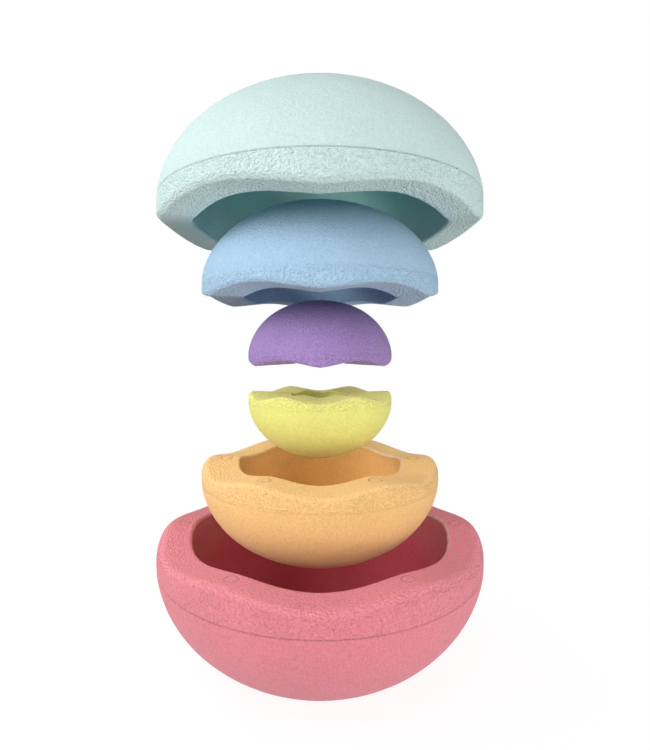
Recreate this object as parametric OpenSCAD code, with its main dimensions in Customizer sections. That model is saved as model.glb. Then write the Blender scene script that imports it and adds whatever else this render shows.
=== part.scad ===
// Set of six nesting cups moulded from expanded foam, shown as an exploded tower.
// Three bowl-up cups and three dome-up cups share one vertical axis. The two cups
// of a size are the same moulding. Each pair closes rim to rim, and the closed
// pairs sit inside each other as one ball.

/* [Large cups] */
// Outer diameter of the large cups
large_d = 275; // [268:1:290]
// Height of the full dome above the widest level
large_dome_h = 97.5; // [96:0.5:106]
// Diameter of the flat foot at the pole
large_foot_d = 76; // [60:1:84]
// Mouth diameter
large_mouth_d = 217; // [214:1:222]
// Height of the rim waves at the outer lip
large_wave = 3.4; // [2:0.1:4.2]

/* [Medium cups] */
// Outer diameter of the medium cups
medium_d = 204; // [196:1:206]
// Height of the full dome above the widest level
medium_dome_h = 70.5; // [66:0.5:71]
// Diameter of the flat foot at the pole
medium_foot_d = 44; // [30:1:56]
// Mouth diameter
medium_mouth_d = 139; // [136:1:144]
// Height of the rim waves at the outer lip
medium_wave = 3; // [2:0.1:3.4]

/* [Small cups] */
// Outer diameter of the small cups
small_d = 126; // [116:1:127]
// Height of the full dome above the widest level
small_dome_h = 48; // [42:0.5:49]
// Diameter of the flat foot at the pole
small_foot_d = 22; // [14:1:30]
// Mouth diameter
small_mouth_d = 49; // [40:1:56]
// Depth of the hollow below mean rim level
small_hollow = 30; // [24:0.5:34]
// Diameter of the hollow's flat floor
small_floor_d = 20; // [12:1:30]
// Height of the rim waves at the outer lip
small_wave = 2.4; // [1.2:0.1:2.6]

/* [Nesting] */
// Gap under a cup that is nested in the next larger one, rims level
nest_gap = 0.8; // [0.6:0.1:4]

/* [Foam edges] */
// Outer lip radius as a share of the cup's diameter
lip_share = 0.034; // [0.02:0.001:0.038]
// Mouth edge radius as a share of the cup's diameter
edge_share = 0.012; // [0.008:0.001:0.016]
// Depth of the mould seam line round the large and medium cups
seam_depth = 0.5; // [0.2:0.1:0.8]

/* [Exploded tower] */
// Rise of the bowl-up medium cup's rim above the bowl-up large cup's rim
medium_lower_rise = 58; // [30:1:90]
// Rise of the bowl-up small cup's rim above the bowl-up medium cup's rim
small_lower_rise = 59; // [30:1:90]
// Rise of the dome-up small cup's rim above the bowl-up small cup's rim
small_upper_rise = 27; // [8:1:90]
// Rise of the dome-up medium cup's rim above the dome-up small cup's rim
medium_upper_rise = 56; // [30:1:90]
// Rise of the dome-up large cup's rim above the dome-up medium cup's rim
large_upper_rise = 60; // [30:1:90]

/* [Hidden] */

// Waves round one rim, and the turn that brings crests over troughs
WAVES = 6;
HALF_WAVE = 180 / WAVES;

// Exponents of the dome's and the hollow's curve: towards the side and the pole
SIDE_POWER = 2.2;
POLE_POWER = 1.8;

// Depths below mean rim level, as shares of the cup's diameter
WIDEST_SHARE = 0.056;
SEAM_SHARE = 0.068;
// Half width of the mould seam line
SEAM_HALF = 0.5;

// Share of the lip wave that is left at the mouth edge: large, medium, small
MOUTH_WAVE = [0.75, 0.72, 0.45];

DOME_STEPS = 16;
HOLLOW_STEPS = 14;
LIP_STEPS = 5;
EDGE_STEPS = 3;
LAND_STEPS = 3;
// Steps round the wavy rim: a multiple of twice the waves
RIM_STEPS = 48;
// Last angle of the lip and edge arcs, short of tangent so that the cut is clean
LIP_END = 12;
// Height of the uncut ring above mean rim level, and of the cutter above that
UNCUT_H = 6;
CUTTER_H = 14;

// How much wider the floor of a hollow is than the foot that stands on it, each side
FLOOR_MARGIN = 3;

// One cup: [radius, dome height, foot radius, mouth radius, hollow depth, floor radius,
//           wave height, share of it at the mouth, has a seam line]
small = [small_d / 2, small_dome_h, small_foot_d / 2, small_mouth_d / 2,
         small_hollow, small_floor_d / 2, small_wave, MOUTH_WAVE[2], false];
medium = [medium_d / 2, medium_dome_h, medium_foot_d / 2, medium_mouth_d / 2,
          depth(small) + nest_gap, foot_r(small) + FLOOR_MARGIN, medium_wave, MOUTH_WAVE[1], true];
large = [large_d / 2, large_dome_h, large_foot_d / 2, large_mouth_d / 2,
         depth(medium) + nest_gap, foot_r(medium) + FLOOR_MARGIN, large_wave, MOUTH_WAVE[0], true];

function cup_r(cup) = cup[0];
function dome_h(cup) = cup[1];
function foot_r(cup) = cup[2];
function mouth_r(cup) = cup[3];
function hollow(cup) = cup[4];
function floor_r(cup) = cup[5];
function wave(cup) = cup[6];
function mouth_wave(cup) = cup[6] * cup[7];
function has_seam(cup) = cup[8];

function widest(cup) = 2 * cup_r(cup) * WIDEST_SHARE;
function seam(cup) = 2 * cup_r(cup) * SEAM_SHARE;
function lip_r(cup) = 2 * cup_r(cup) * lip_share;
function edge_r(cup) = 2 * cup_r(cup) * edge_share;

// Angle on a curve of the given side radius at which it meets a flat of radius flat_r
function flat_angle(side_r, flat_r) = acos(pow(flat_r / side_r, SIDE_POWER / 2));
// A point of the curve at angle a: 0 at its widest level, 90 at the pole
function curve_point(cup, side_r, pole_h, a) = [
    side_r * pow(cos(a), 2 / SIDE_POWER),
    -widest(cup) - pole_h * pow(sin(a), 2 / POLE_POWER)
];

// The dome: its end at the flat foot, its points, and the cup's depth down to the foot
function foot_angle(cup) = flat_angle(cup_r(cup), foot_r(cup));
function dome_point(cup, a) = curve_point(cup, cup_r(cup), dome_h(cup), a);
function depth(cup) = -dome_point(cup, foot_angle(cup))[1];

// The hollow: its end at the flat floor, its height without that flat, and its points
function floor_angle(cup) = flat_angle(mouth_r(cup), floor_r(cup));
function bowl_h(cup) = (hollow(cup) - widest(cup)) / pow(sin(floor_angle(cup)), 2 / POLE_POWER);
function hollow_point(cup, a) = curve_point(cup, mouth_r(cup), bowl_h(cup), a);

// Dome radius at a given depth below the widest level
function dome_r_at(cup, z) =
    cup_r(cup) * pow(1 - pow(z / dome_h(cup), POLE_POWER), 1 / SIDE_POWER);

// Outline of the seam line, as a shallow V in the dome
function seam_points(cup) =
    let (z = seam(cup) - widest(cup))
    !has_seam(cup) ? [] : [
        [dome_r_at(cup, z + SEAM_HALF), -seam(cup) - SEAM_HALF],
        [dome_r_at(cup, z) - seam_depth, -seam(cup)],
        [dome_r_at(cup, z - SEAM_HALF), -seam(cup) + SEAM_HALF]
    ];

// Half section of a cup whose rim hasn't been cut to waves yet
function cup_section(cup) =
    let (top = UNCUT_H,
         seam_end = has_seam(cup) ? -seam(cup) - SEAM_HALF : -widest(cup),
         dome = [for (i = [DOME_STEPS : -1 : 1]) dome_point(cup, foot_angle(cup) * i / DOME_STEPS)])
    concat(
        [[0, -depth(cup)]],
        [for (p = dome) if (p[1] < seam_end - SEAM_HALF) p],
        seam_points(cup),
        [[cup_r(cup), -widest(cup)], [cup_r(cup), top], [mouth_r(cup), top]],
        [for (i = [0 : HOLLOW_STEPS]) hollow_point(cup, floor_angle(cup) * i / HOLLOW_STEPS)],
        [[0, -hollow(cup)]]
    );

// Rings of the rim's surface from the mouth out to the lip: [radius, height, wave height].
// The first and last rings stand clear of the foam.
function rim_rings(cup) =
    let (e = edge_r(cup), l = lip_r(cup), m = mouth_r(cup), r = cup_r(cup),
         w_in = mouth_wave(cup), w_out = wave(cup),
         land_in = m + e, land_out = r - l)
    concat(
        [[m - e / 2, -3 * e, w_in]],
        [for (i = [0 : EDGE_STEPS])
            let (a = 180 - LIP_END - (90 - LIP_END) * i / EDGE_STEPS)
            [land_in + e * cos(a), -e + e * sin(a), w_in]],
        [for (i = [1 : LAND_STEPS - 1])
            let (t = i / LAND_STEPS)
            [land_in + (land_out - land_in) * t, 0, w_in + (w_out - w_in) * t]],
        [for (i = [0 : LIP_STEPS])
            let (a = 90 - (90 - LIP_END) * i / LIP_STEPS)
            [land_out + l * cos(a), -l + l * sin(a), w_out]],
        [[r + l / 2, -2.5 * l, w_out]]
    );

// Everything above the wavy rim, as one closed ring to cut away
module rim_cutter(cup) {
    lower = rim_rings(cup);
    rings = concat(
        [[lower[0][0], CUTTER_H, 0]],
        lower,
        [[lower[len(lower) - 1][0], CUTTER_H, 0]]
    );
    count = len(rings);
    points = [
        for (ring = rings)
            for (s = [0 : RIM_STEPS - 1])
                let (a = 360 * s / RIM_STEPS)
                [ring[0] * cos(a), ring[0] * sin(a), ring[1] + ring[2] * cos(WAVES * a)]
    ];
    faces = [
        for (k = [0 : count - 1])
            for (s = [0 : RIM_STEPS - 1])
                let (next = (s + 1) % RIM_STEPS,
                     a = k * RIM_STEPS + s, b = k * RIM_STEPS + next,
                     c = ((k + 1) % count) * RIM_STEPS + next, d = ((k + 1) % count) * RIM_STEPS + s)
                each [[a, c, b], [a, d, c]]
    ];
    polyhedron(points = points, faces = faces, convexity = 6);
}

// One bowl-up cup, with mean rim level at height 0
module cup_body(cup) {
    difference() {
        rotate_extrude($fn = 144) polygon(cup_section(cup));
        rim_cutter(cup);
    }
}

// The same moulding turned dome up, with its crests over the other cup's troughs
module cup_body_turned(cup) {
    rotate([180, 0, HALF_WAVE]) cup_body(cup);
}

// Mean rim levels of the cups in the tower, from the foot of the lowest one
rim_large_lower = depth(large);
rim_medium_lower = rim_large_lower + medium_lower_rise;
rim_small_lower = rim_medium_lower + small_lower_rise;
rim_small_upper = rim_small_lower + small_upper_rise;
rim_medium_upper = rim_small_upper + medium_upper_rise;
rim_large_upper = rim_medium_upper + large_upper_rise;

module cup_large_lower() {
    color([0.88, 0.52, 0.56]) translate([0, 0, rim_large_lower]) cup_body(large);
}

module cup_medium_lower() {
    color([0.94, 0.77, 0.51]) translate([0, 0, rim_medium_lower]) cup_body(medium);
}

module cup_small_lower() {
    color([0.93, 0.91, 0.54]) translate([0, 0, rim_small_lower]) cup_body(small);
}

module cup_small_upper() {
    color([0.61, 0.5, 0.75]) translate([0, 0, rim_small_upper]) cup_body_turned(small);
}

module cup_medium_upper() {
    color([0.71, 0.81, 0.9]) translate([0, 0, rim_medium_upper]) cup_body_turned(medium);
}

module cup_large_upper() {
    color([0.77, 0.88, 0.85]) translate([0, 0, rim_large_upper]) cup_body_turned(large);
}

cup_large_lower();
cup_medium_lower();
cup_small_lower();
cup_small_upper();
cup_medium_upper();
cup_large_upper();
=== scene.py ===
"""Looks for a set of six nesting foam cups, drawn apart as a tower on a pale floor."""

import math

import bmesh
import bpy
import numpy as np
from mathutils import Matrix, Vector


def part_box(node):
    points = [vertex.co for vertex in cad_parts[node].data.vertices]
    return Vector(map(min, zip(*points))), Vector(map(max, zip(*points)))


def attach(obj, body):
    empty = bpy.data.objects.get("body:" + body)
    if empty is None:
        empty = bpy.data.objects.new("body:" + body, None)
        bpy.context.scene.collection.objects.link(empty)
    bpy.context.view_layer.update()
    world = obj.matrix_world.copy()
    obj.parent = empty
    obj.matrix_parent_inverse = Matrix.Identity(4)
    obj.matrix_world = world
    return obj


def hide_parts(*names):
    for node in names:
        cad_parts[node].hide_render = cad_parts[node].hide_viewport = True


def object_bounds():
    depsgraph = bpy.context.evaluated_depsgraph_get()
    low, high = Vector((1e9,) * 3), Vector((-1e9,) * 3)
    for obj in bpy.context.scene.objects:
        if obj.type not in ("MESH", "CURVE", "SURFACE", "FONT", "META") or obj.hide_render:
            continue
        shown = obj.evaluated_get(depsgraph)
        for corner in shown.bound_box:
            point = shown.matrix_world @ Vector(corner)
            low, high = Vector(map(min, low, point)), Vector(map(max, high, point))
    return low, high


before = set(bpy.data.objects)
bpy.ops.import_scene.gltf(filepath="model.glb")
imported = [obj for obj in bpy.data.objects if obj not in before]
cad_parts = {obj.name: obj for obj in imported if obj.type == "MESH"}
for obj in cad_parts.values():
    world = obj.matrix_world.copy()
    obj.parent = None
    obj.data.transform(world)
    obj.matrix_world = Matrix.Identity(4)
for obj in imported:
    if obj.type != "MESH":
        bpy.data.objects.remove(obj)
cad_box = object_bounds()

MM = 0.001

# ---------------------------------------------------------------- shape of the cups
WAVES = 6
SIDE_POWER = 2.2            # exponents of the dome's and the hollow's curve
POLE_POWER = 1.8
WIDEST_SHARE = 0.056        # depths below mean rim level, as shares of the diameter
SEAM_SHARE = 0.068
LIP_SHARE = 0.034           # radii of the rim's edges, as shares of the diameter
LIP_SHARE_UPPER = 0.018     # the outer edge of a dome-up cup's rim is sharper
EDGE_SHARE = 0.012
SKIN_INSET = 0.15 * MM      # the visible skin starts this far inside the CAD surface
NEST_GAP = 0.8 * MM         # under a cup that is nested in the next larger one
LAND_GRAIN_UPPER = 1.0      # strength of the leathery grain on the rim's land
LAND_GRAIN_LOWER = 0.65
LIP_CALM_UPPER = 0.5        # how much weaker that grain is on the lip's edge

# Per size, in mm: wave height, share of it at the mouth, foot, mouth and floor diameters, and
# the hollow's depth or the node that nests in it. Then the steps of the mesh round the axis,
# the strength of the seam line (the depth of its groove and of the painted shade in it), over what
# height the leathery grain fades in above it, and how far out the round marks lie.
SIZES = {
    "large": {"wave": 3.4, "mouth_share": 0.75, "foot": 76, "mouth": 217, "floor": 50,
              "hollow": "cup_medium_lower", "steps": 720, "seam": 1.0, "fade": 0.0, "marks": 118.5},
    "medium": {"wave": 3.0, "mouth_share": 0.72, "foot": 44, "mouth": 139, "floor": 28,
               "hollow": "cup_small_lower", "steps": 600, "seam": 0.2, "fade": 2.0, "marks": 82.0},
    "small": {"wave": 2.4, "mouth_share": 0.45, "foot": 22, "mouth": 49, "floor": 20,
              "hollow": 30, "steps": 480, "seam": 0.05, "fade": 2.0, "marks": 0.0},
}

# Each cup: CAD node, body, size, dome up or bowl up, material slot
CUPS = [
    ("cup_large_lower", "large_lower", "large", False, "foam_pink"),
    ("cup_medium_lower", "medium_lower", "medium", False, "foam_orange"),
    ("cup_small_lower", "small_lower", "small", False, "foam_yellow"),
    ("cup_small_upper", "small_upper", "small", True, "foam_purple"),
    ("cup_medium_upper", "medium_upper", "medium", True, "foam_blue"),
    ("cup_large_upper", "large_upper", "large", True, "foam_mint"),
]
SIZE_OF = {node: size for node, _, size, _, _ in CUPS}


class Cup:
    """Dimensions of one cup in metres, from its CAD box and its size's row above."""

    def __init__(self, node, size, upper=False):
        low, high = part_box(node)
        row = SIZES[size]
        self.r = (high[0] - low[0]) / 2
        self.wave = row["wave"] * MM
        self.depth = (high[2] - low[2]) - self.wave
        self.mouth_wave = self.wave * row["mouth_share"]
        self.foot = row["foot"] / 2 * MM
        self.mouth = row["mouth"] / 2 * MM
        self.floor = row["floor"] / 2 * MM
        if row["hollow"] in SIZE_OF:
            self.hollow = Cup(row["hollow"], SIZE_OF[row["hollow"]]).depth + NEST_GAP
        else:
            self.hollow = row["hollow"] * MM
        self.steps = row["steps"]
        self.seam_mark = row["seam"]
        self.fade = row["fade"] * MM
        self.marks = row["marks"] * MM
        self.widest = 2 * self.r * WIDEST_SHARE
        self.seam = 2 * self.r * SEAM_SHARE
        self.lip = 2 * self.r * (LIP_SHARE_UPPER if upper else LIP_SHARE)
        self.land_grain = LAND_GRAIN_UPPER if upper else LAND_GRAIN_LOWER
        self.lip_calm = LIP_CALM_UPPER if upper else 0.0
        self.edge = 2 * self.r * EDGE_SHARE


def flat_angle(side_r, flat_r):
    """Angle on a curve of radius side_r at which it meets a flat of radius flat_r."""
    return math.acos((flat_r / side_r) ** (SIDE_POWER / 2))


def curve(side_r, flat_r, top, bottom, count):
    """Points from the widest level (depth top) to the flat (depth bottom): radius, height."""
    end = flat_angle(side_r, flat_r)
    full = (bottom - top) / math.sin(end) ** (2 / POLE_POWER)
    a = np.linspace(0, end, count)
    return np.stack([side_r * np.cos(a) ** (2 / SIDE_POWER),
                     -top - full * np.sin(a) ** (2 / POLE_POWER)], axis=1)


def respaced(points, step):
    """The same polyline with a point about every step along it."""
    lengths = np.hypot(*np.diff(points, axis=0).T)
    along = np.concatenate([[0], np.cumsum(lengths)])
    count = max(2, int(round(along[-1] / step)) + 1)
    at = np.linspace(0, along[-1], count)
    return np.stack([np.interp(at, along, column) for column in points.T], axis=1)


# ---------------------------------------------------------------- surface noise
def hashed(ix, iy, iz, seed):
    """A fixed pseudo-random number from 0 to 1 for each lattice point."""
    n = (ix * 374761393 + iy * 668265263 + iz * 2147483647 + seed * 144665) & 0xFFFFFFFF
    n = ((n ^ (n >> 13)) * 1274126177) & 0xFFFFFFFF
    return ((n ^ (n >> 16)) & 0xFFFFFF) / float(0xFFFFFF)


def value_noise(points, size, seed):
    """Smooth noise from -1 to 1 with lumps of about the given size."""
    q = points / size
    cell = np.floor(q).astype(np.int64)
    f = q - cell
    f = f * f * (3 - 2 * f)
    total = np.zeros(len(points))
    for dx in (0, 1):
        for dy in (0, 1):
            for dz in (0, 1):
                weight = (np.abs(1 - dx - f[:, 0]) * np.abs(1 - dy - f[:, 1])
                          * np.abs(1 - dz - f[:, 2]))
                total += weight * hashed(cell[:, 0] + dx, cell[:, 1] + dy, cell[:, 2] + dz, seed)
    return 2 * total - 1


def smooth(low, high, x):
    """0 below low, 1 above high, with a smooth rise between."""
    t = np.clip((x - low) / (high - low), 0, 1)
    return t * t * (3 - 2 * t)


# ---------------------------------------------------------------- the skin of a cup
FINE_STEP = 1.0 * MM        # spacing of the mesh's rings on the rim and band
DOME_STEP = 2.6 * MM
WALL_STEP = 1.6 * MM
HOLLOW_STEP = 3.2 * MM
CURVE_POINTS = 400          # of a dome's or hollow's curve before it is respaced
FOOT_RINGS = 8
FLOOR_RINGS = 6
EDGE_RINGS = 7

# The seam's groove: height above the seam in mm, and depth as a share of SEAM_DEPTH
SEAM_GROOVE = [(0.9, 0.0), (0.5, 0.25), (0.2, 0.8), (0.0, 1.0),
               (-0.2, 0.8), (-0.5, 0.25), (-0.9, 0.0)]
SEAM_DEPTH = 0.7 * MM
SEAM_HALF = 0.9 * MM        # half the groove's width
SEAM_BELOW = 0.5 * MM       # the dome's rings stop this far below the groove
SEAM_ABOVE = 0.6 * MM       # and the band's rings start this far above it
LAND_FROM, LAND_FULL = 0.5, 1.1         # angles on the lip over which the land sets in
CALM_FULL = 1.5             # the angle from which the grain is as strong as on the land
LAND_FADE = 0.15            # how much of the leathery grain the land loses towards the mouth
EDGE_GRAIN = 0.5            # strength of the leathery grain on the mouth's edge
WALL_HOLLOW = 0.2           # the hollow's mask, which sets painted shade, at the foot of its wall
DEEP_SHARE = 0.55           # the hollow's mask, and with it the painted shade, is full from this share of its depth

LEATHER_DEPTH = 0.2 * MM
LUMP_DEPTH = 0.6            # in mm
LEAST_INSET = 0.04 * MM
# Lumps of the foam and folds of the leathery grain: size and share of each noise
LUMPS = [(26 * MM, 0.22), (9 * MM, 0.1)]
LUMP_LEVEL = 0.32           # keeps the sum of the lumps above 0
FOLDS = [(3.1 * MM, 0.6), (1.9 * MM, 0.4)]
FOLD_LEVEL = 0.9            # the highest the folds come to, about
RIDGE_UPPER = 0.5           # how far the rounded crests are drawn up to ridges
RIDGE_LOWER = 0.3

MARK_R = 4.8 * MM           # the round marks' groove
MARK_DEPTH = 0.35 * MM
MARK_INNER, MARK_OUTER = 0.3 * MM, 1.3 * MM     # it is full within one, and ends at the other
# Masks kept on the mesh: mouth_edge places a painted highlight, land a painted light and the
# painted shade of marks and pits, seam and hollow painted shade.
MASKS = ("coarse", "mouth_edge", "land", "seam", "hollow")
SEED_STEP, SEED_FIRST = 10, 3           # of the cups' surface noise


def cup_rings(cup):
    """Rings of the skin from the foot over the dome, lip and land down to the hollow's floor.

    Each ring is (radius, height, wave height, coarse grain, mouth edge, land, seam, hollow,
    inward push).
    """
    rings = []

    def add(points, wave=0.0, coarse=0.0, edge=0.0, land=0.0, seam=0.0, hollow=0.0, push=0.0):
        columns = [np.broadcast_to(c, len(points))
                   for c in (wave, coarse, edge, land, seam, hollow, push)]
        rings.append(np.column_stack([points, *columns]))

    def leathery(level):
        return smooth(-SEAM_HALF, SEAM_HALF + cup.fade, level + cup.seam)

    dome = curve(cup.r, cup.foot, cup.widest, cup.depth, CURVE_POINTS)[::-1]
    add(np.array([[cup.foot * k / FOOT_RINGS, -cup.depth] for k in range(1, FOOT_RINGS)]))
    groove = np.array([-cup.seam - a * MM for a, _ in SEAM_GROOVE])
    add(respaced(dome[dome[:, 1] < groove[0] - SEAM_BELOW], DOME_STEP))
    up = dome[np.argsort(dome[:, 1])]
    radii = np.interp(groove, up[:, 1], up[:, 0])
    seam = np.array([d for _, d in SEAM_GROOVE]) * cup.seam_mark
    add(np.column_stack([radii, groove]), coarse=leathery(groove), seam=seam,
        push=seam * SEAM_DEPTH)
    top = -cup.lip
    levels = np.arange(groove[-1] + SEAM_ABOVE, top, FINE_STEP)
    band_r = np.where(levels > -cup.widest, cup.r, np.interp(levels, up[:, 1], up[:, 0]))
    rise = smooth(levels[0] - FINE_STEP, top, levels)
    add(np.column_stack([band_r, levels]), wave=cup.wave * rise, coarse=leathery(levels))
    a = np.linspace(0, math.pi / 2, max(8, int(cup.lip * math.pi / 2 / FINE_STEP)))
    add(np.column_stack([cup.r - cup.lip + cup.lip * np.cos(a), -cup.lip + cup.lip * np.sin(a)]),
        wave=cup.wave, land=smooth(LAND_FROM, LAND_FULL, a),
        coarse=(1 + (cup.land_grain - 1) * smooth(LAND_FROM, CALM_FULL, a))
        * (1 - cup.lip_calm * np.sin(2 * a)))
    land_out, land_in = cup.r - cup.lip, cup.mouth + cup.edge
    count = int((land_out - land_in) / FINE_STEP)
    t = (np.arange(count) + 1) / (count + 1)
    add(np.column_stack([land_out + (land_in - land_out) * t, np.zeros(count)]),
        wave=cup.wave + (cup.mouth_wave - cup.wave) * t,
        coarse=cup.land_grain - LAND_FADE * t, land=1.0)
    # The mouth's edge; its mask places the painted highlight there.
    a = np.linspace(math.pi / 2, math.pi, EDGE_RINGS)
    add(np.column_stack([land_in + cup.edge * np.cos(a), -cup.edge + cup.edge * np.sin(a)]),
        wave=cup.mouth_wave, coarse=EDGE_GRAIN, edge=np.abs(np.sin(2 * a)),
        land=np.linspace(1, 0, len(a)))
    # The hollow's mask, which sets painted shade in the hollow, starts on this wall.
    wall = np.arange(-cup.edge - FINE_STEP, -cup.widest, -WALL_STEP)
    fade = 1 - smooth(cup.edge, cup.widest, -wall)
    add(np.column_stack([np.full(len(wall), cup.mouth), wall]), wave=cup.mouth_wave * fade,
        hollow=WALL_HOLLOW * (1 - fade))
    bowl = curve(cup.mouth, cup.floor, cup.widest, cup.hollow, CURVE_POINTS)
    bowl = respaced(bowl, HOLLOW_STEP)
    deep = smooth(cup.widest, DEEP_SHARE * cup.hollow, -bowl[:, 1])
    add(bowl, hollow=WALL_HOLLOW + (1 - WALL_HOLLOW) * deep)
    floor = [[cup.floor * k / FLOOR_RINGS, -cup.hollow] for k in range(FLOOR_RINGS - 1, 0, -1)]
    add(np.array(floor), hollow=1.0)
    return np.concatenate(rings)


def mark_groove(cup, x, y):
    """1 in the line of the round marks on the crests, 0 elsewhere."""
    sector = 2 * math.pi / WAVES
    angle = np.arctan2(y, x)
    folded = angle - sector * np.round(angle / sector)
    radius = np.hypot(x, y)
    off = np.hypot(radius * np.cos(folded) - cup.marks, radius * np.sin(folded)) - MARK_R
    return 1 - smooth(MARK_INNER, MARK_OUTER, np.abs(off))


def cup_arrays(cup, upper, rim_level, seed):
    """Vertices, quads, triangles and per-vertex masks of a cup's skin, in the frame's metres."""
    rings = cup_rings(cup)
    n, m = cup.steps, len(rings)
    theta = np.arange(n) * 2 * math.pi / n
    r, z, wave, coarse, edge, land, seam, hollow, push = [column[:, None] for column in rings.T]
    # ring normals in the half section, pointing out of the foam
    ext = np.concatenate([[[0, rings[0, 1]]], rings[:, :2], [[0, rings[-1, 1]]]])
    tangent = ext[2:] - ext[:-2]
    tangent /= np.hypot(tangent[:, 0], tangent[:, 1])[:, None]
    nr, nz = tangent[:, 1][:, None], -tangent[:, 0][:, None]
    x = r * np.cos(theta)
    y = r * np.sin(theta)
    ridged = 1 - 2 * np.abs(np.sin(WAVES / 2 * theta))
    ridge = RIDGE_UPPER if upper else RIDGE_LOWER
    h = z + wave * (np.cos(WAVES * theta) * (1 - ridge) + ridged * ridge)
    points = np.stack([x, y, h], axis=-1).reshape(-1, 3)
    masks = [np.broadcast_to(k, (m, n)).reshape(-1) for k in (coarse, edge, land, seam, hollow)]
    lumps = sum(value_noise(points, size, seed + k) * share
                for k, (size, share) in enumerate(LUMPS))
    (fold_size, fold_share), (crease_size, crease_share) = FOLDS
    folds = 1 - np.abs(value_noise(points, fold_size, seed + 2))
    leather = folds * fold_share + value_noise(points, crease_size, seed + 3) * crease_share
    inward = (SKIN_INSET + (LUMP_LEVEL + lumps) * MM * LUMP_DEPTH
              + (FOLD_LEVEL - leather) * LEATHER_DEPTH * masks[0])
    inward = np.clip(inward, LEAST_INSET, None) + np.broadcast_to(push, (m, n)).reshape(-1)
    if cup.marks and not upper:
        inward += mark_groove(cup, points[:, 0], points[:, 1]) * masks[2] * MARK_DEPTH
    out = np.stack([np.broadcast_to(nr, (m, n)) * np.cos(theta),
                    np.broadcast_to(nr, (m, n)) * np.sin(theta),
                    np.broadcast_to(nz, (m, n))], axis=-1).reshape(-1, 3)
    points = points - out * inward[:, None]
    foot_centre, floor_centre = -cup.depth + SKIN_INSET, -cup.hollow - SKIN_INSET
    points = np.concatenate([[[0, 0, foot_centre]], points, [[0, 0, floor_centre]]])
    masks = [np.concatenate([[0], k, [0]]) for k in masks]
    if upper:
        turn = math.pi / WAVES
        px, py, pz = points[:, 0], -points[:, 1], -points[:, 2]
        points = np.stack([px * math.cos(turn) - py * math.sin(turn),
                           px * math.sin(turn) + py * math.cos(turn), pz], axis=1)
    points[:, 2] += rim_level
    k, s = np.meshgrid(np.arange(m - 1), np.arange(n), indexing="ij")
    k, s = k.reshape(-1), s.reshape(-1)
    nxt = (s + 1) % n
    low, high = 1 + k * n, 1 + (k + 1) * n
    quads = np.stack([low + s, low + nxt, high + nxt, high + s], axis=1)
    ring = np.arange(n)
    foot_fan = np.stack([np.zeros(n, int), 1 + (ring + 1) % n, 1 + ring], axis=1)
    last = 1 + (m - 1) * n
    floor_fan = np.stack([np.full(n, last + n), last + ring, last + (ring + 1) % n], axis=1)
    return points, quads, np.concatenate([foot_fan, floor_fan]), masks


def cup_skin(name, cup, upper, rim_level, seed):
    """The cup's skin as a smooth-shaded mesh object."""
    points, quads, tris, masks = cup_arrays(cup, upper, rim_level, seed)
    mesh = bpy.data.meshes.new(name)
    mesh.vertices.add(len(points))
    mesh.vertices.foreach_set("co", points.reshape(-1))
    loops = np.concatenate([quads.reshape(-1), tris.reshape(-1)])
    starts = np.concatenate([np.arange(len(quads)) * 4,
                             len(quads) * 4 + np.arange(len(tris)) * 3])
    mesh.loops.add(len(loops))
    mesh.loops.foreach_set("vertex_index", loops)
    mesh.polygons.add(len(starts))
    mesh.polygons.foreach_set("loop_start", starts)
    mesh.update(calc_edges=True)
    mesh.validate()
    mesh.polygons.foreach_set("use_smooth", np.ones(len(starts), dtype=bool))
    for label, values in zip(MASKS, masks):
        layer = mesh.attributes.new(label, "FLOAT", "POINT")
        layer.data.foreach_set("value", values)
    piece = bpy.data.objects.new(name, mesh)
    bpy.context.scene.collection.objects.link(piece)
    return piece


# ---------------------------------------------------------------- materials
BUMP_DEPTH = 1.3 * MM
# Scale (per metre), detail and roughness of the noises
CLOUD_NOISE = (22, 3, 0.5)
GRAIN_NOISE = (600, 2, 0.6)
LEATHER_NOISE = (680, 0, 0.5)
# breaks up the painted highlight on the mouth's edge
HIGHLIGHT_NOISE = (140, 4, 0.7)
GAP_NOISE = (90, 2, 0.5)    # of the gaps in the line of the round marks
# The part of a noise's range that is used, from none to full
NOISE_SPAN = (0.3, 0.7)
CREVICE_SPAN = (0.35, 0.65)
GAP_SPAN = (0.35, 0.55)
GLOSS_SPAN = (0.2, 0.8)

CLOUD_SHADE = 0.025         # how much each of these lightens or darkens the colour
GRAIN_SHADE = 0.09
# painted shade in the leathery grain's lows, and painted light on its tops and over the rim and
# band
CREVICE_SHADES = (-0.02, 0.10)
# painted shade in the pits
PIT_SHADE = 0.5
# painted shade along the seam's groove
SEAM_SHADE = 0.3
GRAIN_RELIEF = 0.9          # shares of BUMP_DEPTH
LEATHER_RELIEF = 1.5

PIT_SCALE = 120             # cells of the pits per metre
PIT_RADII = (0.05, 0.1)     # in cells: the pit's full depth, and its edge
PIT_CHOICE = 0.68           # a cell has a pit if its random grey is over this
MARK_SHADE = {"foam_pink": 0.28, "foam_orange": 0.5}    # how dark the round marks' line is: painted shade in their groove
MARK_RELIEF = 1.3           # its relief, as a multiple of how dark it is
MARK_LINE = (0.3 * MM, 0.75 * MM)       # the line is full within one, and ends at the other
MARK_FAINT = 0.3            # strength of the line in its gaps
PALE_SHARE, PALE_WHITE = 0.5, 0.45      # the pale colour: share of the colour, and what is added
HIGHLIGHT_SIDE = (0.4, 0.85)     # the painted highlight on the mouth's edge is on its +X side, from here on, in mouth radii
HIGHLIGHT_OTHER_SIDE = 0.05           # how strong the painted highlight is on the other side
HIGHLIGHT_LEAST = 0.4            # how strong the painted highlight is in its weakest spots, as a share of its strongest
ROUGHEST, SMOOTHEST = 0.92, 0.74
SPECULAR = 0.3
SHEEN, SHEEN_ROUGHNESS = 0.1, 0.5
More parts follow.
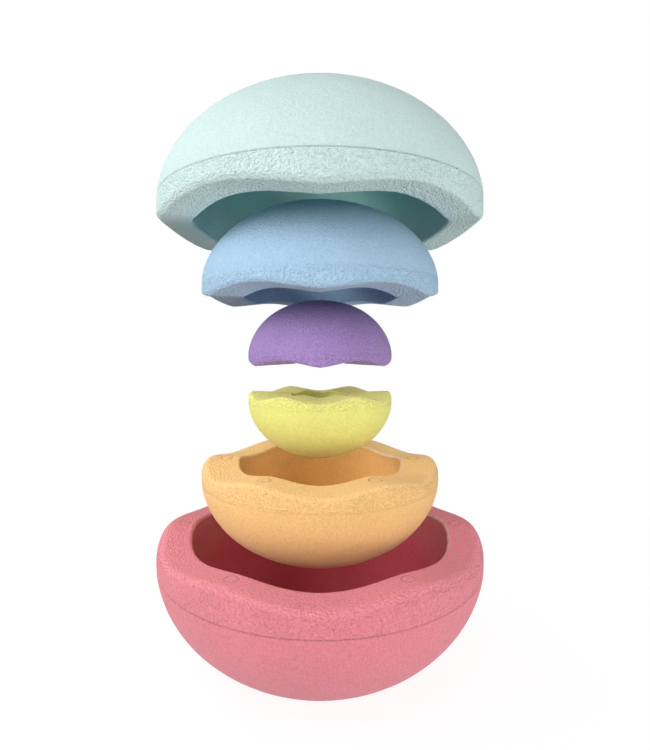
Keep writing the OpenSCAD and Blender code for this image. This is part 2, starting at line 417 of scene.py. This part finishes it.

# Per slot: colour, strengths of the fine grain and of the leathery one, how much brighter the rim's
# land is than the dome, which is painted light, and how much paler it is, how bright the hollow is
# and how much stronger its colour, which is painted shade, and how strong the painted highlight on
# the mouth's edge is
FOAMS = {
    "foam_pink": {"colour": (0.64, 0.191, 0.229), "grain": 1.1, "leather": 0.7, "land_painted_light": 0.28,
                  "pale": 0.03, "hollow": 1.0, "hollow_shade_deepen": 0.6, "edge_highlight": 1.0},
    "foam_orange": {"colour": (0.765, 0.457, 0.175), "grain": 1.0, "leather": 0.75, "land_painted_light": 0.32,
                    "pale": 0.02, "hollow": 1.1, "hollow_shade_deepen": 0.2, "edge_highlight": 1.0},
    "foam_yellow": {"colour": (0.72, 0.70, 0.195), "grain": 0.9, "leather": 0.8, "land_painted_light": 0.3,
                    "pale": 0.02, "hollow": 1.0, "hollow_shade_deepen": 0.35, "edge_highlight": 0.2},
    "foam_purple": {"colour": (0.378, 0.24, 0.535), "grain": 1.6, "leather": 1.0, "land_painted_light": 0.05,
                    "pale": 0.05, "hollow": 0.8, "hollow_shade_deepen": 0.35, "edge_highlight": 0.1},
    "foam_blue": {"colour": (0.388, 0.573, 0.753), "grain": 0.95, "leather": 0.9, "land_painted_light": 0.08,
                  "pale": 0.02, "hollow": 0.75, "hollow_shade_deepen": 0.35, "edge_highlight": 0.1},
    "foam_mint": {"colour": (0.595, 0.77, 0.745), "grain": 0.7, "leather": 0.9, "land_painted_light": 0.15,
                  "pale": 0.0, "hollow": 1.1, "hollow_shade_deepen": 1.2, "edge_highlight": 0.1},
}


class Nodes:
    """Short calls for the nodes of one material. Textures use object coordinates."""

    def __init__(self, mat):
        self.tree = mat.node_tree
        self.place = self.add("ShaderNodeTexCoord").outputs["Object"]

    def add(self, kind, **settings):
        made = self.tree.nodes.new(kind)
        for name, value in settings.items():
            setattr(made, name, value)
        return made

    def put(self, socket, value):
        """Link a socket to another, or set its number or colour."""
        if isinstance(value, bpy.types.NodeSocket):
            self.tree.links.new(value, socket)
        else:
            socket.default_value = value

    def maths(self, operation, *values):
        made = self.add("ShaderNodeMath", operation=operation)
        for socket, value in zip(made.inputs, values):
            self.put(socket, value)
        return made.outputs[0]

    def ranged(self, value, low, high, to_low, to_high):
        made = self.add("ShaderNodeMapRange")
        for name, number in (("Value", value), ("From Min", low), ("From Max", high),
                             ("To Min", to_low), ("To Max", to_high)):
            self.put(made.inputs[name], number)
        return made.outputs["Result"]

    def noise(self, scale, detail, roughness):
        made = self.add("ShaderNodeTexNoise")
        for name, number in (("Vector", self.place), ("Scale", scale), ("Detail", detail),
                             ("Roughness", roughness)):
            self.put(made.inputs[name], number)
        return made.outputs["Fac"]

    def mask(self, name):
        return self.add("ShaderNodeAttribute", attribute_name=name).outputs["Fac"]

    def mixed(self, share, a, b):
        made = self.add("ShaderNodeMixRGB")
        for name, value in (("Fac", share), ("Color1", a), ("Color2", b)):
            self.put(made.inputs[name], value)
        return made.outputs["Color"]


def foam_pits(build):
    """Small pits left between foam beads, on the rim only: 1 in a pit, 0 elsewhere."""
    cells = build.add("ShaderNodeTexVoronoi")
    build.put(cells.inputs["Vector"], build.place)
    build.put(cells.inputs["Scale"], PIT_SCALE)
    hole = build.ranged(cells.outputs["Distance"], *PIT_RADII, 1.0, 0.0)
    chosen = build.maths("GREATER_THAN", cells.outputs["Color"], PIT_CHOICE)
    return build.maths("MULTIPLY", build.maths("MULTIPLY", hole, chosen), build.mask("land"))


def mark_line(build, cup):
    """Line of the round marks on the crests: 1 in the line, 0 elsewhere."""
    split = build.add("ShaderNodeSeparateXYZ")
    build.put(split.inputs[0], build.place)
    x, y = split.outputs[0], split.outputs[1]
    sector = 2 * math.pi / WAVES
    angle = build.maths("ARCTAN2", y, x)
    nearest = build.maths("ROUND", build.maths("DIVIDE", angle, sector))
    folded = build.maths("SUBTRACT", angle, build.maths("MULTIPLY", nearest, sector))
    radius = build.maths("SQRT", build.maths("ADD", build.maths("MULTIPLY", x, x),
                                             build.maths("MULTIPLY", y, y)))
    along = build.maths("SUBTRACT", build.maths("MULTIPLY", radius, build.maths("COSINE", folded)),
                        cup.marks)
    across = build.maths("MULTIPLY", radius, build.maths("SINE", folded))
    reach = build.maths("SQRT", build.maths("ADD", build.maths("MULTIPLY", along, along),
                                            build.maths("MULTIPLY", across, across)))
    off = build.maths("ABSOLUTE", build.maths("SUBTRACT", reach, MARK_R))
    line = build.ranged(off, *MARK_LINE, 1.0, 0.0)
    return build.maths("MULTIPLY", line, build.mask("land"))


def foam(name, cup, mark_painted_shade):
    """Matt moulded foam: sandy grain all over, leathery grain on the rim and band.

    The third argument is how dark the round marks' line is, painted shade in their groove, 0 for a
    cup without them.
    """
    look = FOAMS[name]
    colour, grit = look["colour"], look["grain"]
    mat = bpy.data.materials.new(name)
    mat.use_nodes = True
    shader = mat.node_tree.nodes["Principled BSDF"]
    build = Nodes(mat)
    coarse, edge, land = build.mask("coarse"), build.mask("mouth_edge"), build.mask("land")

    clouds = build.noise(*CLOUD_NOISE)
    grain = build.noise(*GRAIN_NOISE)
    leather = build.noise(*LEATHER_NOISE)
    pits = foam_pits(build)
    speckle = GRAIN_SHADE * grit
    shade = build.maths("ADD", build.ranged(clouds, *NOISE_SPAN, 1 - CLOUD_SHADE, 1 + CLOUD_SHADE),
                        build.ranged(grain, *NOISE_SPAN, -speckle, speckle))
    # Painted shade in the lows of the leathery grain and painted light on its tops, which also
    # lightens the rim and band.
    crevice_painted_shade_and_light = build.maths("MULTIPLY", build.ranged(leather, *CREVICE_SPAN, *CREVICE_SHADES), coarse)
    shade = build.maths("ADD", shade, crevice_painted_shade_and_light)
    # Painted light: the rim's land is made brighter than the dome.
    shade = build.maths("ADD", shade, build.maths("MULTIPLY", land, look["land_painted_light"]))
    # Painted shade in the pits.
    shade = build.maths("SUBTRACT", shade, build.maths("MULTIPLY", pits, PIT_SHADE))
    # Painted shade along the seam's groove.
    shade = build.maths("SUBTRACT", shade,
                        build.maths("MULTIPLY", build.mask("seam"), SEAM_SHADE))
    relief = build.maths("ADD", build.maths("MULTIPLY", grain, GRAIN_RELIEF * grit),
                         build.maths("MULTIPLY", build.maths("MULTIPLY", leather, coarse),
                                     LEATHER_RELIEF * look["leather"]))
    relief = build.maths("SUBTRACT", relief, pits)
    if mark_painted_shade:
        line = build.maths("MULTIPLY", mark_line(build, cup),
                           build.ranged(build.noise(*GAP_NOISE), *GAP_SPAN, MARK_FAINT, 1.0))
        # Painted shade in the round marks' groove.
        shade = build.maths("SUBTRACT", shade, build.maths("MULTIPLY", line, mark_painted_shade))
        relief = build.maths("SUBTRACT", relief,
                             build.maths("MULTIPLY", line, MARK_RELIEF * mark_painted_shade))

    pale = tuple(PALE_SHARE * c + PALE_WHITE for c in colour)
    # Painted shade in the hollow: its colour is darker and stronger there.
    deep = tuple(c * look["hollow"] * (c / max(colour)) ** look["hollow_shade_deepen"] for c in colour)
    tint = build.mixed(build.maths("MULTIPLY", land, look["pale"]), (*colour, 1), (*pale, 1))
    tint = build.mixed(build.mask("hollow"), tint, (*deep, 1))
    hue = build.add("ShaderNodeHueSaturation")
    build.put(hue.inputs["Color"], tint)
    build.put(hue.inputs["Value"], shade)
    split = build.add("ShaderNodeSeparateXYZ")
    build.put(split.inputs[0], build.place)
    # Painted highlight: a pale line on the mouth's edge, strongest on its +X side, broken up by
    # noise.
    side = build.ranged(split.outputs[0], *(share * cup.mouth for share in HIGHLIGHT_SIDE),
                        HIGHLIGHT_OTHER_SIDE, 1.0)
    painted_highlight = build.maths("MULTIPLY", build.maths("MULTIPLY", edge, side),
                         build.ranged(build.noise(*HIGHLIGHT_NOISE), *GAP_SPAN,
                                      HIGHLIGHT_LEAST * look["edge_highlight"], look["edge_highlight"]))
    build.put(shader.inputs["Base Color"],
              build.mixed(painted_highlight, hue.outputs["Color"], (*pale, 1)))

    bump = build.add("ShaderNodeBump")
    build.put(bump.inputs["Strength"], 1.0)
    build.put(bump.inputs["Distance"], BUMP_DEPTH)
    build.put(bump.inputs["Height"], relief)
    build.put(shader.inputs["Normal"], bump.outputs["Normal"])
    build.put(shader.inputs["Roughness"], build.ranged(grain, *GLOSS_SPAN, ROUGHEST, SMOOTHEST))
    build.put(shader.inputs["Specular IOR Level"], SPECULAR)
    build.put(shader.inputs["Sheen Weight"], SHEEN)
    build.put(shader.inputs["Sheen Roughness"], SHEEN_ROUGHNESS)
    return mat


# ---------------------------------------------------------------- the object
upper_cups = bpy.data.collections.new("upper_cups")
lower_cups = bpy.data.collections.new("lower_cups")
for order, (node_name, body, size, upper, slot) in enumerate(CUPS):
    cup = Cup(node_name, size, upper)
    low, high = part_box(node_name)
    rim_level = high[2] - cup.depth if upper else low[2] + cup.depth
    skin = cup_skin(node_name.replace("cup", "foam"), cup, upper, rim_level,
                    SEED_STEP * order + SEED_FIRST)
    skin.data.materials.append(foam(slot, cup, 0 if upper else MARK_SHADE.get(slot, 0)))
    (upper_cups if upper else lower_cups).objects.link(skin)
    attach(skin, body)
    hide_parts(node_name)


# ---------------------------------------------------------------- stage, light and camera
FLOOR_SOLID = 0.2           # the floor fades out between these distances from the axis
FLOOR_R = 0.7
FLOOR_SIDES = 96
FLOOR_GREY = 0.2            # the floor's grey, which takes light and shadow, and its own glow
FLOOR_GLOW = 0.86
BACKDROP_R = 20


def stage_floor():
    """A pale round floor that the tower stands on. It fades into the white backdrop."""
    mesh = bpy.data.meshes.new("floor")
    turns = [2 * math.pi * k / FLOOR_SIDES for k in range(FLOOR_SIDES)]
    rim = [(FLOOR_R * math.cos(turn), FLOOR_R * math.sin(turn), 0) for turn in turns]
    mesh.from_pydata(rim, [], [tuple(range(FLOOR_SIDES))])
    floor = bpy.data.objects.new("floor", mesh)
    bpy.context.scene.collection.objects.link(floor)
    floor.visible_shadow = False
    floor.visible_diffuse = False
    mat = bpy.data.materials.new("floor_paper")
    mat.use_nodes = True
    shader = mat.node_tree.nodes["Principled BSDF"]
    build = Nodes(mat)
    out = build.add("ShaderNodeVectorMath", operation="LENGTH")
    build.put(out.inputs[0], build.place)
    build.put(shader.inputs["Alpha"],
              build.ranged(out.outputs["Value"], FLOOR_SOLID, FLOOR_R, 1.0, 0.0))
    build.put(shader.inputs["Base Color"], (FLOOR_GREY, FLOOR_GREY, FLOOR_GREY, 1))
    build.put(shader.inputs["Roughness"], 0.95)
    build.put(shader.inputs["Specular IOR Level"], 0.0)
    build.put(shader.inputs["Emission Color"], (1, 1, 1, 1))
    build.put(shader.inputs["Emission Strength"], FLOOR_GLOW)
    mesh.materials.append(mat)


def backdrop():
    """A white dome far outside everything, which lights nothing and is only seen."""
    mesh = bpy.data.meshes.new("backdrop")
    shape = bmesh.new()
    bmesh.ops.create_uvsphere(shape, u_segments=48, v_segments=24, radius=BACKDROP_R)
    shape.to_mesh(mesh)
    shape.free()
    dome = bpy.data.objects.new("backdrop", mesh)
    bpy.context.scene.collection.objects.link(dome)
    for kind in ("diffuse", "glossy", "transmission", "shadow", "volume_scatter"):
        setattr(dome, "visible_" + kind, False)
    mat = bpy.data.materials.new("backdrop_white")
    mat.use_nodes = True
    shader = mat.node_tree.nodes["Principled BSDF"]
    shader.inputs["Base Color"].default_value = (0, 0, 0, 1)
    shader.inputs["Specular IOR Level"].default_value = 0
    shader.inputs["Emission Color"].default_value = (1, 1, 1, 1)
    shader.inputs["Emission Strength"].default_value = 1.0
    mesh.materials.append(mat)


def area_light(name, place, target, size, power, receivers, blockers=None):
    """A round soft light at place, aimed at target, which lights only the receivers.

    With blockers, only those cast shadows in it.
    """
    data = bpy.data.lights.new(name, "AREA")
    data.shape = "DISK"
    data.size = size
    data.energy = power
    light = bpy.data.objects.new(name, data)
    light.location = place
    aim = np.array(target) - np.array(place)
    yaw = math.atan2(aim[0], -aim[1])
    pitch = math.atan2(math.hypot(aim[0], aim[1]), -aim[2])
    light.rotation_euler = (pitch, 0, yaw + math.pi)
    light.light_linking.receiver_collection = receivers
    light.light_linking.blocker_collection = blockers
    light.visible_camera = False
    bpy.context.scene.collection.objects.link(light)


stage_floor()
backdrop()

# Lights: name, place, size, and the power in watts that falls on the dome-up cups and on the
# bowl-up cups, which are lit apart so that the hollows of both stay dark
LIGHTS = [
    ("key", (-1.1, -0.9, 1.1), 0.9, 6.5, 0.5),
    ("high_front", (0, -1.2, 1.2), 0.9, 2.3, 5.6),
    ("high_left", (-1.4, -0.6, 0.65), 0.8, 14.1, 1.0),
    ("front", (0, -1.6, 0.35), 1.2, 0, 11.8),
    ("low_front", (0, -1.6, 0.12), 0.8, 3.4, 0),
    ("left", (-1.5, -0.1, 0.35), 1.0, 1.0, 12.0),
    ("right", (1.5, -0.1, 0.35), 1.0, 1.6, 5.5),
    ("low_right", (1.0, -1.0, -0.35), 0.7, 12.5, 5.6),
    ("back_left", (-1.0, 0.8, 1.0), 0.8, 0, 4.0),
    ("bounce", (0, 0, -0.01), 1.4, 1.25, 2.8),
]
# Each bowl-up cup also has its own smaller light from the upper left, as if it were shot alone, so
# that no other cup's shadow falls in its hollow: place and size, and the power for each cup
OWN_LIGHT = (-1.2, -0.45, 0.95)
OWN_SIZE = 0.3
OWN_POWER = {"foam_large_lower": 2.5, "foam_medium_lower": 4.7, "foam_small_lower": 3.0}
AMBIENT_LOW = 0.0           # soft light from all round, from below the horizon and from above it
AMBIENT_HIGH = 0.4
HORIZON = 0.3               # half the height over which one changes to the other
middle = (cad_box[0][2] + cad_box[1][2]) / 2
lower_cups.objects.link(bpy.data.objects["floor"])
for name, place, size, on_upper, on_lower in LIGHTS:
    for power, receivers in ((on_upper, upper_cups), (on_lower, lower_cups)):
        if power:
            area_light(name, place, (0, 0, middle), size, power, receivers)
for name, power in OWN_POWER.items():
    alone = bpy.data.collections.new(name + "_alone")
    alone.objects.link(bpy.data.objects[name])
    area_light(name + "_own", OWN_LIGHT, (0, 0, middle), OWN_SIZE, power, alone, alone)

world = bpy.data.worlds.new("studio")
world.use_nodes = True
build = Nodes(world)
split = build.add("ShaderNodeSeparateXYZ")
build.put(split.inputs[0], build.place)
sky = world.node_tree.nodes["Background"].inputs
build.put(sky["Color"], (1, 1, 1, 1))
build.put(sky["Strength"],
          build.ranged(split.outputs[2], -HORIZON, HORIZON, AMBIENT_LOW, AMBIENT_HIGH))
bpy.context.scene.world = world

# The camera that fits the photo: it looks level along +Y
CAMERA_BACK = 0.425         # from the axis
CAMERA_RISE = 0.1581        # above the rim of the lowest cup
FOCAL = 23.05
SENSOR = 36
SHIFT_X, SHIFT_Y = 0.0067, -0.0379
camera = bpy.data.cameras.new("camera")
camera.lens = FOCAL
camera.sensor_width = SENSOR
camera.shift_x = SHIFT_X
camera.shift_y = SHIFT_Y
eye = bpy.data.objects.new("camera", camera)
lowest = Cup("cup_large_lower", "large")
eye.location = (0, -CAMERA_BACK, lowest.depth + CAMERA_RISE)
eye.rotation_euler = (math.pi / 2, 0, 0)
bpy.context.scene.collection.objects.link(eye)
bpy.context.scene.camera = eye
bpy.context.scene.view_settings.view_transform = "Standard"
